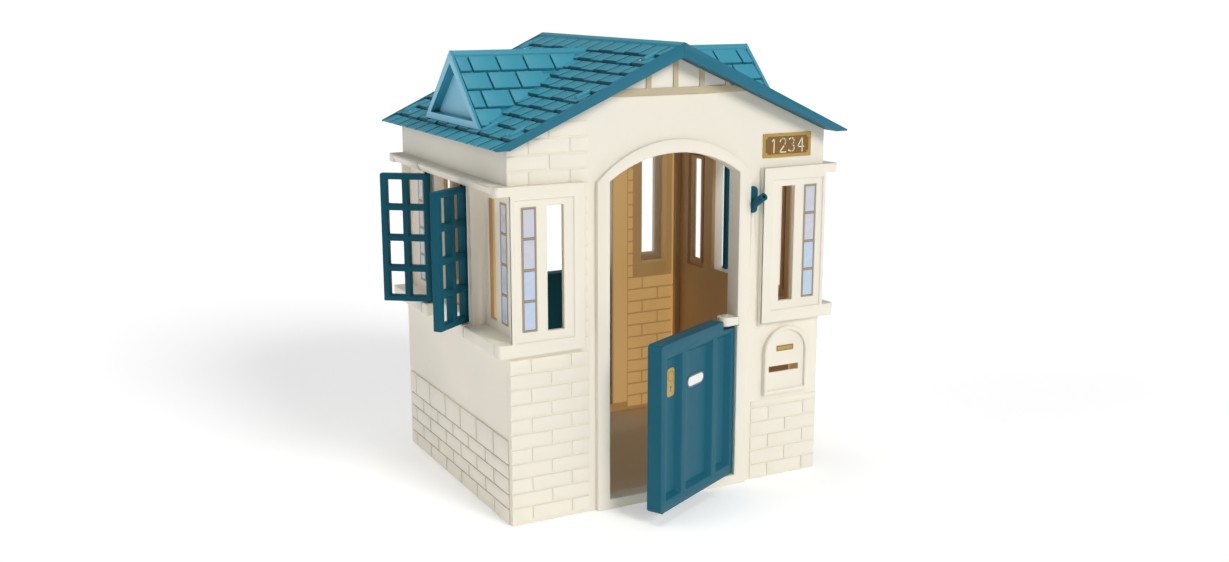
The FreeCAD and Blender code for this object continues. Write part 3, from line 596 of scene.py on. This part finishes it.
def inside_dormer(across, y, spare):
    """Whether a point of the main slope lies more than spare under the dormer's slopes."""
    dormer_height = DORMER_TOP - DORMER_RISE * abs(y - DEPTH / 2)
    return across < DORMER_FRONT - 20 and dormer_height - slope_height(across) > spare


def roof_tile(bm, high, low, near, far, lift):
    """One shingle of the left slope, thin at its upper edge and thick at its lower edge."""
    def corner(across, y, up):
        return (-across, y, max(slope_height(across) + up, EAVE_UNDER + 0.7))
    return solid(bm, [corner(low, near, -16), corner(high, near, -16), corner(high, far, -16),
                      corner(low, far, -16), corner(low, near, lift),
                      corner(high, near, -6), corner(high, far, -6), corner(low, far, lift)])


SHINGLE_WIDE = 77
SHINGLE_GAP = 9.2
COURSE_STARTS = (0.52, 0.02, 0.58, 0.12, 0.66, 0.20, 0.60, 0.05, 0.50, 0.86, 0.34)


def shingles(bm, rng):
    """Courses of shingles whose lower edges stand alternately long and short."""
    edges = set()
    for course in range(COURSES):
        low = min(FIRST_COURSE + course * COURSE, EAVE_HALF)
        high = CAP_HALF - 2 if course == 0 else FIRST_COURSE + (course - 1) * COURSE + 3
        start = -OVERHANG + 9
        stop = DEPTH + OVERHANG - 9
        joints = [start]
        y = start + COURSE_STARTS[course] * SHINGLE_WIDE
        while y < stop - 12:
            if y > start + 12:
                joints.append(y + rng.uniform(-3, 3))
            y += SHINGLE_WIDE
        joints.append(stop)
        for place, (near, far) in enumerate(zip(joints, joints[1:])):
            reach = low + (2.5 if place % 2 else -2.5) if course < COURSES - 1 else low
            hidden = all(inside_dormer(a, b, 10) for a in (high, reach) for b in (near, far))
            if not hidden:
                edges |= roof_tile(bm, high, reach, near + SHINGLE_GAP / 2, far - SHINGLE_GAP / 2,
                                   -0.5)
    soften(bm, edges, 0.7, 2)
    bm.normal_update()
    # Painted shade: the shingles' sides take the dark gap colour.
    for face in bm.faces:
        if abs(face.normal.z) < 0.35 and face.calc_center_median().x > 3 - EAVE_HALF:
            face.material_index = 2


def roof_base(bm):
    """The slab under the shingles, level under the eave and sloping from there to the ridge."""
    lip, under = EAVE_UNDER + 1.5, EAVE_UNDER + 0.3
    foot = (RIDGE_TOP + ROOF_SKIN - lip) / ROOF_SLOPE
    outline = [(0, RIDGE_TOP + ROOF_SKIN), (-foot, lip), (-EAVE_HALF + 4, lip),
               (-EAVE_HALF + 4, under), (-EAVE_STEP, under), (0, GABLE_TOP + 0.3)]
    prism(bm, outline, "y", -OVERHANG + 4, DEPTH + OVERHANG - 4)
    # Painted shade: the whole slab takes the dark gap colour, which shows between the shingles.
    for face in bm.faces:
        face.material_index = 2


def barge(bm, near, far):
    """The smooth strip along a gable edge, level with the shingles' lower edges."""
    outline = [(0, RIDGE_TOP - 1), (-EAVE_HALF, slope_height(EAVE_HALF) - 1),
               (-EAVE_HALF, EAVE_UNDER), (-EAVE_STEP, EAVE_UNDER), (0, GABLE_TOP)]
    return prism(bm, outline, "y", near, far)


def ridge_cap(bm):
    """The left half of the narrow cap along the ridge."""
    outline = [(0, RIDGE_TOP - 14), (0, RIDGE_TOP - 0.3), (-CAP_HALF, slope_height(CAP_HALF) - 0.3),
               (-CAP_HALF - 3, slope_height(CAP_HALF) - 14)]
    return prism(bm, outline, "y", -OVERHANG + 1, DEPTH + OVERHANG - 1)


DORMER_SKIN = 12
DORMER_ROW = 65
DORMER_TILE = 82
DORMER_CAP_HALF = 11


def dormer(bm, rng):
    """A dormer: its shell, the border round its sunk face, its tiles and its ridge cap."""
    middle = DEPTH / 2
    run = math.hypot(DORMER_HALF, DORMER_TOP - DORMER_BASE)
    lean = DORMER_HALF / run
    drop = (DORMER_TOP - DORMER_BASE) / run
    shell_half = DORMER_HALF - DORMER_SKIN / drop
    shell = [(middle - shell_half, DORMER_BASE), (middle + shell_half, DORMER_BASE),
             (middle, DORMER_TOP - DORMER_SKIN / lean)]
    prism(bm, shell, "x", -DORMER_FRONT + DORMER_DEPTH, -DORMER_INNER)
    outer = [(middle - DORMER_HALF, DORMER_BASE), (middle + DORMER_HALF, DORMER_BASE),
             (middle, DORMER_TOP)]
    inner = [(middle - DORMER_HALF + 45, DORMER_BASE + 19),
             (middle + DORMER_HALF - 45, DORMER_BASE + 19), (middle, DORMER_TOP - 35)]
    ring(bm, shell, inner, "x", -DORMER_FRONT + 8, -DORMER_FRONT + DORMER_DEPTH + 2)
    soften(bm, ring(bm, outer, inner, "x", -DORMER_FRONT, -DORMER_FRONT + 8), 1.0, 2)
    bm.normal_update()
    # Painted reflection: the dormer's front faces take the lighter blue.
    for panel in bm.faces:
        in_front = panel.calc_center_median().x < -DORMER_FRONT + DORMER_DEPTH + 1
        if in_front and abs(panel.normal.x) > 0.9:
            panel.material_index = 1

    def corner(across, side, down, up):
        """A point of a dormer slope: down along it from the ridge, up square to it."""
        y = middle + side * (down * lean + up * drop)
        return (-across, y, DORMER_TOP - down * drop + up * lean)

    tiles = set()
    for side in (-1, 1):
        for course in range(5):
            high = 14 + course * DORMER_ROW
            low = min(high + DORMER_ROW - 4, run - 4)
            if low - high < 12:
                continue
            x = DORMER_FRONT - 4 - (84 if course % 2 else 44)
            spans = [(DORMER_FRONT - 9, x)]
            while x > 80:
                spans.append((x, x - DORMER_TILE + rng.uniform(-2, 2)))
                x = spans[-1][1]
            for front, rear in spans:
                rear = max(rear, 62)
                if slope_height(rear) > corner(rear, side, (high + low) / 2, 0)[2] + 26:
                    continue
                a, b = front - 2.8, rear + 2.8
                tiles |= solid(bm, [corner(a, side, low, -14), corner(a, side, high, -14),
                                    corner(b, side, high, -14), corner(b, side, low, -14),
                                    corner(a, side, low, -0.4), corner(a, side, high, -5),
                                    corner(b, side, high, -5), corner(b, side, low, -0.4)])
    cap_foot = DORMER_TOP - DORMER_CAP_HALF * DORMER_RISE
    west, east = middle - DORMER_CAP_HALF, middle + DORMER_CAP_HALF
    cap = [(west, cap_foot - 14), (east, cap_foot - 14), (east, cap_foot - 0.4),
           (middle, DORMER_TOP - 0.4), (west, cap_foot - 0.4)]
    tiles |= prism(bm, cap, "x", -DORMER_FRONT + 2, -DORMER_INNER)
    soften(bm, tiles, 1.5, 2)


BLOCK_SPANS = ((440, 481), (255, 296), (57, 99))
BLOCK_LONG = 18
BLOCK_UP = 4.8


def roof_block(bm, near, far, start):
    """A raised block on the left slope, such as the ones beside the roof screws."""
    def corner(across, y, up):
        return (-across, y, slope_height(across) + up)
    end = start + BLOCK_LONG
    return solid(bm, [corner(across, y, up) for up in (-14, BLOCK_UP)
                      for across, y in ((far, start), (near, start), (near, end), (far, end))])


def roof_half(name, node, turned):
    """One slope of the roof with its dormer."""
    rng = random.Random(7)
    bm = bmesh.new()
    roof_base(bm)
    for near in (-OVERHANG, DEPTH + OVERHANG - 8):
        # The gable strips take the darker teal, a painted shade.
        add_layer(bm, lambda part, near=near: barge(part, near, near + 8), 3, 1.2, 2)
    add_layer(bm, ridge_cap, 0, 1.5, 2)
    blocks = set()
    for start in (-8, DEPTH - 10):
        for near, far in BLOCK_SPANS:
            blocks |= roof_block(bm, near, far, start)
    blocks |= roof_block(bm, 443, 486, DEPTH / 2 - DORMER_HALF - 32)
    soften(bm, blocks, 2.5, 3)
    for build in (shingles, dormer):
        part = bmesh.new()
        build(part, rng)
        add_mesh(bm, part)
    if turned:
        half_turn(bm)
    make(name, bm, TEAL, "house", (node,), (DORMER_PAINTED_SHEEN, ROOF_GAP_PAINTED_SHADE, FASCIA_PAINTED_SHADE))


roof_half("roof_left_shingles", "roof_left", False)
roof_half("roof_right_shingles", "roof_right", True)


# ---------------------------------------------------------------- doors and shutters

def softened(name, node, width, material, body, shortest=2.0, steps=3):
    """A CAD part with its sharp edges rounded."""
    bm = cad_mesh(node)
    dissolve_flat(bm)
    soften(bm, sharp_edges(bm, shortest), width, steps, clamp=False)
    make(name, bm, material, body, (node,))


for door in ("front_door", "back_door"):
    softened(door + "_leaf", door, 2.5, DOOR_TEAL, door)
for shutter in ("shutter_left_front", "shutter_left_rear", "shutter_right_front",
                "shutter_right_rear"):
    softened(shutter + "_lattice", shutter, 2.6, DARK_TEAL, shutter)
softened("flag_holder_moulding", "flag_holder", 1.2, DARK_TEAL, "house", 1.0)
for trim in ("gable_trim_front", "gable_trim_back"):
    softened(trim + "_rail", trim, 0.8, TAN, "house")


# ---------------------------------------------------------------- window panes and plates

STRIP_LOW = 535
STRIP_HIGH = 863
STRIP_HALF = 21.25
STRIP_BAR = 4.5
STRIP_LINES = 4
STRIP_ACROSS = 438.75   # an end wall's strips, from the middle of the house
STRIP_ALONG = 81.25     # a side wall's strips, from the end wall's outer plane
FRONT_BAY = -15
SIDE_BAY = 467


def pane_strip(name, middle, along, base, out):
    """A printed strip of four small panes in a tan frame, laid on the face at base."""
    start, end = middle - STRIP_HALF, middle + STRIP_HALF
    step = (STRIP_HIGH - STRIP_LOW) / STRIP_LINES

    def layer(part, left, low, right, high, depth):
        near, far = sorted((base, base + out * depth))
        if along == "x":
            return block(part, (left, near, low), (right, far, high))
        return block(part, (near, left, low), (far, right, high))

    def back(part):
        return layer(part, start + 0.5, STRIP_LOW + 0.5, end - 0.5, STRIP_HIGH - 0.5, 0.6)

    def bars(part):
        edges = layer(part, start, STRIP_LOW, start + STRIP_BAR, STRIP_HIGH, 1.5)
        edges |= layer(part, end - STRIP_BAR, STRIP_LOW, end, STRIP_HIGH, 1.5)
        for line in range(STRIP_LINES + 1):
            below = {0: 0, STRIP_LINES: STRIP_BAR}.get(line, 2.2)
            low = STRIP_LOW + line * step - below
            edges |= layer(part, start + STRIP_BAR, low, end - STRIP_BAR, low + STRIP_BAR, 1.45)
        return edges

    def pane(line):
        low = STRIP_LOW + line * step + (STRIP_BAR if line == 0 else 2.3) + 1.5
        above = STRIP_BAR if line == STRIP_LINES - 1 else 2.2
        high = STRIP_LOW + (line + 1) * step - above - 1.5
        return lambda part: layer(part, start + 5.7, low, end - 5.7, high, 1.1)

    bm = bmesh.new()
    add_layer(bm, back, 3)
    add_layer(bm, bars, 0, 0.4)
    for line in range(STRIP_LINES):
        add_layer(bm, pane(line), 2 if line < 2 else 1, 0.2)
    make(name + "_print", bm, STRIP_TAN, "house", (name,), (PANE, PANE_LOW, LEAD))


SIDES = (("left", -1), ("right", 1))
for face, base, out in (("front", FRONT_BAY, -1), ("back", DEPTH - FRONT_BAY, 1)):
    for side, sign in SIDES:
        pane_strip(f"pane_strip_{face}_{side}", sign * STRIP_ACROSS, "x", base, out)
for side, sign in SIDES:
    for place, middle in (("front", STRIP_ALONG), ("rear", DEPTH - STRIP_ALONG)):
        pane_strip(f"pane_strip_{side}_{place}", middle, "y", sign * SIDE_BAY, sign)


def stroke(bm, points, width, near, far):
    """A line of even width through flat points (x, z)."""
    edges = set()
    for (x0, z0), (x1, z1) in zip(points, points[1:]):
        length = math.hypot(x1 - x0, z1 - z0)
        ux, uz = (x1 - x0) / length * width / 2, (z1 - z0) / length * width / 2
        edges |= prism(bm, [(x0 - ux + uz, z0 - uz - ux), (x1 + ux + uz, z1 + uz - ux),
                            (x1 + ux - uz, z1 + uz + ux), (x0 - ux - uz, z0 - uz + ux)],
                       "y", near, far)
    return edges


PLATE_LEFT = 283
PLATE_RIGHT = 446
PLATE_LOW = 943
PLATE_HIGH = 1011
FIGURE_PITCH = 30
FIGURE_MIDDLE = 977
FIGURE_TALL = 1.15
FIGURE_LINE = 3.4

# The figures 1, 2, 3 and 4 as lines round their own middles.
DIGITS = (
    ((-6, 11), (0, 17), (0, -17)),
    ((-10, 9), (-6, 16), (1, 17), (8, 14), (9, 7), (5, 0), (-11, -17), (10, -17)),
    ((-9, 14), (-2, 17), (6, 15), (8, 8), (4, 2), (-3, 1), (4, 0), (9, -6), (7, -14), (-1, -17),
     (-10, -13)),
    ((6, -17), (6, 17), (-10, -6), (11, -6)),
)


def number_plate():
    """A gold plate with notched corners round a brown field and four thin figures."""
    left, right, low, high = PLATE_LEFT, PLATE_RIGHT, PLATE_LOW, PLATE_HIGH
    notch, rim = 6, 9
    west, east, foot, head = left + rim, right - rim, low + rim, high - rim
    field = [(west + notch, foot), (east - notch, foot), (east - notch, foot + notch),
             (east, foot + notch), (east, head - notch), (east - notch, head - notch),
             (east - notch, head), (west + notch, head), (west + notch, head - notch),
             (west, head - notch), (west, foot + notch), (west + notch, foot + notch)]

    def inside_plate(inset):
        return rounded(left + inset, low + inset, right - inset, high - inset, 1, 2)

    def figures(part):
        edges = set()
        for place, points in enumerate(DIGITS):
            middle = (left + right) / 2 + (place - 1.5) * FIGURE_PITCH
            line = [(middle + x, FIGURE_MIDDLE + z * FIGURE_TALL) for x, z in points]
            edges |= stroke(part, line, FIGURE_LINE, -2.95, -2.3)
        return edges

    bm = bmesh.new()
    add_layer(bm, lambda part: block(part, (left, -2.1, low), (right, 0, high)), 0, 0.5, 2)
    for inset, deep in ((2.5, 2.4), (5.5, 2.55)):
        add_layer(bm, lambda part, inset=inset, deep=deep: ring(
            part, inside_plate(inset), inside_plate(inset + 1.2), "y", -deep, -2.0), 0)
    add_layer(bm, lambda part: prism(part, field, "y", -2.35, -1.9), 1, 0.2)
    add_layer(bm, figures, 2)
    make("number_plate_print", bm, GOLD, "house", ("number_plate",), (BROWN, DIGIT))


MAIL_PLATE_HALF = 29
MAIL_PLATE_TALL = 8     # half of its height
MAIL_PLATE_AT = (373, 388)


def mail_plate():
    """The small plate above the mail slot: a gold field with a brown edge."""
    x, z = MAIL_PLATE_AT

    def plate(part, inset, near, far):
        half, tall = MAIL_PLATE_HALF - inset, MAIL_PLATE_TALL - inset
        return block(part, (x - half, near, z - tall), (x + half, far, z + tall))

    bm = bmesh.new()
    add_layer(bm, lambda part: plate(part, 0, -7.2, -6), 0, 0.4, 2)
    add_layer(bm, lambda part: plate(part, 2.5, -7.45, -7.0), 1, 0.2)
    make("mail_box_plate_print", bm, BROWN, "house", ("mail_box_plate",), (GOLD,))


number_plate()
mail_plate()


def hang(bm):
    """Turn a mesh built on the closed door to the door's modelled place."""
    pivot = Vector((*HINGE, 0))
    turn = Matrix.Rotation(math.radians(DOOR_OPEN), 4, "Z")
    bmesh.ops.transform(bm, verts=bm.verts, matrix=(
        Matrix.Translation(pivot) @ turn @ Matrix.Translation(-pivot)))


FACING = Matrix.Rotation(math.radians(90), 3, "X")


PLAQUE_ACROSS = 298     # from the hinge line to the middle of the knob's plaque
PLAQUE_HIGH = 384
PLAQUE_FACE = -8.9      # in front of the hinge line
PLAQUE_HALF = 18
PLAQUE_TALL = 39        # half of its height
PLAQUE_ROUND = 9
KNOB_UP = 17
KEYHOLE_DOWN = 14
BADGE_ACROSS = 170
BADGE_HIGH = 361
BADGE_BACK = -8


def knob_plate():
    """A printed plaque with a raised knob in a dark ring and a keyhole."""
    x, z = HINGE[0] - PLAQUE_ACROSS, PLAQUE_HIGH
    face = HINGE[1] + PLAQUE_FACE
    knob_at = (x, face + 0.05, z + KNOB_UP)
    keyhole_at = (x, face + 0.05, z - KEYHOLE_DOWN)

    def plaque(part):
        outline = rounded(x - PLAQUE_HALF, z - PLAQUE_TALL, x + PLAQUE_HALF, z + PLAQUE_TALL,
                          PLAQUE_ROUND)
        return prism(part, outline, "y", face, face + 0.9)

    def shade(part):
        lathe(part, [(14.6, 0), (14.6, 0.12), (0, 0.14)], knob_at, FACING, 32)

    def knob(part):
        lathe(part, [(13, 0), (13, 0.25), (11.5, 0.5), (8.5, 0.55), (7.0, 0.3), (5.0, 0.42),
                     (0, 0.5)], knob_at, FACING, 32)

    def keyhole(part):
        lathe(part, [(4.4, 0), (4.4, 0.35), (0, 0.4)], keyhole_at, FACING, 20)
        block(part, (x - 1.9, face - 0.3, z - 27), (x + 1.9, face + 0.1, z - KEYHOLE_DOWN))

    bm = bmesh.new()
    add_layer(bm, plaque, 1, 0.3)
    add_layer(bm, shade, 0)
    add_layer(bm, knob, 1)
    add_layer(bm, keyhole, 2)
    hang(bm)
    make("knob_plate_print", bm, BROWN, "front_door", ("front_door_knob_plate",),
         (GOLD, LEAD))


def badge():
    """A blank oblong badge with round ends and a grey border."""
    x, z = HINGE[0] - BADGE_ACROSS, BADGE_HIGH
    back = HINGE[1] + BADGE_BACK

    def oblong(part, half, tall, near, far):
        outline = rounded(x - half, z - tall, x + half, z + tall, tall - 0.1)
        return prism(part, outline, "y", back - near, back - far)

    bm = bmesh.new()
    add_layer(bm, lambda part: oblong(part, 44, 17, 2.1, 0), 0, 0.4, 2)
    add_layer(bm, lambda part: oblong(part, 39.5, 12.5, 2.45, 2), 1, 0.2)
    hang(bm)
    make("door_badge_print", bm, BORDER, "front_door", ("front_door_badge",), (BADGE,))


knob_plate()
badge()


# ---------------------------------------------------------------- screws and pins

def screw(bm, base, turn, radius, height):
    """A domed head with a sunk middle, where four raised wedges leave a cross between them."""
    rim = [(radius, 0), (radius, 0.32 * height), (0.9 * radius, 0.62 * height),
           (0.68 * radius, 0.84 * height), (0.45 * radius, 0.95 * height)]
    lathe(bm, rim + [(0.42 * radius, 0.55 * height), (0, 0.5 * height)], base, turn, 24)
    for quarter in range(4):
        angle = math.pi / 4 + quarter * math.pi / 2
        spin = turn @ Matrix.Rotation(angle, 3, "Z")
        near, far, half = 0.13 * radius, 0.40 * radius, 0.14 * radius
        corners = [(near, -half * 0.4), (far, -half), (far, half), (near, half * 0.4)]
        solid(bm, [Vector(base) + spin @ Vector((u, v, 0.3 * height)) for u, v in corners]
              + [Vector(base) + spin @ Vector((u, v, 0.92 * height)) for u, v in corners])


SCREWS_ACROSS = (95, 286, 474)
SCREW_IN = 25
SCREW_SUNK = 5
SCREW_HEAD = 6
SCREW_HEAD_HIGH = 3


def roof_screws():
    """The twelve screw heads on the roof, square to its slopes."""
    bm = bmesh.new()
    for side in (-1, 1):
        lean = Matrix.Rotation(side * math.atan(ROOF_SLOPE), 3, "Y")
        for across in SCREWS_ACROSS:
            for y in (SCREW_IN, DEPTH - SCREW_IN):
                seat = (side * across, y, slope_height(across) - SCREW_SUNK)
                screw(bm, seat, lean, SCREW_HEAD, SCREW_HEAD_HIGH)
    make("roof_screw_heads", bm, STEEL, "house", ("roof_screws",))


roof_screws()


def rims(bm):
    """Edges that turn by more than 50 degrees, however short."""
    return [edge for edge in bm.edges if len(edge.link_faces) == 2
            and edge.calc_face_angle() > math.radians(50)]


def dress(name, node, material, body, width=0.5):
    """A small turned CAD part with its rims rounded."""
    bm = cad_mesh(node)
    dissolve_flat(bm)
    soften(bm, rims(bm), width, 3)
    make(name, bm, material, body, (node,), smooth=60)


dress("corner_screw_heads", "corner_screws", STEEL, "house", 0.7)
dress("front_pin_heads", "front_door_pins", PIN_GREY, "house", 1.2)
dress("back_pin_heads", "back_door_pins", PIN_GREY, "house", 1.2)


# ---------------------------------------------------------------- stage, lights and camera

FLOOR_SIZE = 800        # so that its far edge is out of sight
FLOOR_DROP = 0.0005     # under the house, clear of its underside
FLOOR_GLOW = 0.24
WORLD_LIGHT = 0.22
CAMERA_AT = (-1.8176, -3.0869, 1.4117)
CAMERA_DOWN = 0.217     # radians below level
CAMERA_TURN = -0.487
CAMERA_LENS = 39.17
FAR_CLIP = 2000


def floor_glow_and_painted_shade(tree, shader, place):
    """The floor glows softly like lit paper, evenly bright; under the house it has no glow and is
    painted tan, a painted shade.
    """
    split = tree.nodes.new("ShaderNodeSeparateXYZ")
    tree.links.new(place, split.inputs["Vector"])
    across = maths(tree, "ABSOLUTE", split.outputs["X"])
    along = maths(tree, "ABSOLUTE", maths(tree, "SUBTRACT", split.outputs["Y"], DEPTH / 2 * MM))
    under = maths(tree, "MULTIPLY", maths(tree, "LESS_THAN", across, (HOUSE_HALF - 20) * MM),
                  maths(tree, "LESS_THAN", along, (DEPTH / 2 - 20) * MM))
    glow = blend(tree, under, (1.0, 1.0, 1.0), (0.0, 0.0, 0.0))
    # Painted shade: a tan colour under the house.
    colour = blend(tree, under, (0.93, 0.93, 0.93), (0.90, 0.82, 0.70))
    tree.links.new(glow, shader.inputs["Emission Color"])
    tree.links.new(colour, shader.inputs["Base Color"])


def floor():
    bpy.ops.mesh.primitive_plane_add(size=FLOOR_SIZE, location=(0, 0, -FLOOR_DROP))
    plane = bpy.context.object
    plane.name = "floor"
    material, tree, shader, place = new_material("floor_paper")
    shader.inputs["Roughness"].default_value = 0.9
    shader.inputs["Specular IOR Level"].default_value = 0.1
    shader.inputs["Emission Strength"].default_value = FLOOR_GLOW
    floor_glow_and_painted_shade(tree, shader, place)
    plane.data.materials.append(material)


def sun(name, direction, strength, spread):
    """A sun lamp that shines from a direction."""
    lamp = bpy.data.lights.new(name, "SUN")
    lamp.energy = strength
    lamp.angle = spread
    holder = bpy.data.objects.new(name, lamp)
    holder.rotation_euler = Vector(direction).to_track_quat("Z", "Y").to_euler()
    bpy.context.scene.collection.objects.link(holder)


def lights():
    world = bpy.data.worlds.new("studio")
    bpy.context.scene.world = world
    world.use_nodes = True
    background = world.node_tree.nodes["Background"]
    background.inputs["Color"].default_value = (1.0, 1.0, 1.0, 1)
    background.inputs["Strength"].default_value = WORLD_LIGHT
    sun("key", (0.25, -0.80, 0.55), 1.62, 0.40)
    sun("side", (-0.90, 0.12, 0.42), 0.42, 0.5)
    sun("top", (-0.05, 0.05, 1.0), 0.95, 0.5)


def camera():
    data = bpy.data.cameras.new("camera")
    data.sensor_width = 36
    data.lens = CAMERA_LENS
    data.clip_end = FAR_CLIP
    view = bpy.data.objects.new("camera", data)
    view.location = CAMERA_AT
    view.rotation_euler = (math.pi / 2 - CAMERA_DOWN, 0, CAMERA_TURN)
    bpy.context.scene.collection.objects.link(view)
    bpy.context.scene.camera = view


floor()
lights()
camera()
bpy.context.scene.view_settings.view_transform = "Standard"
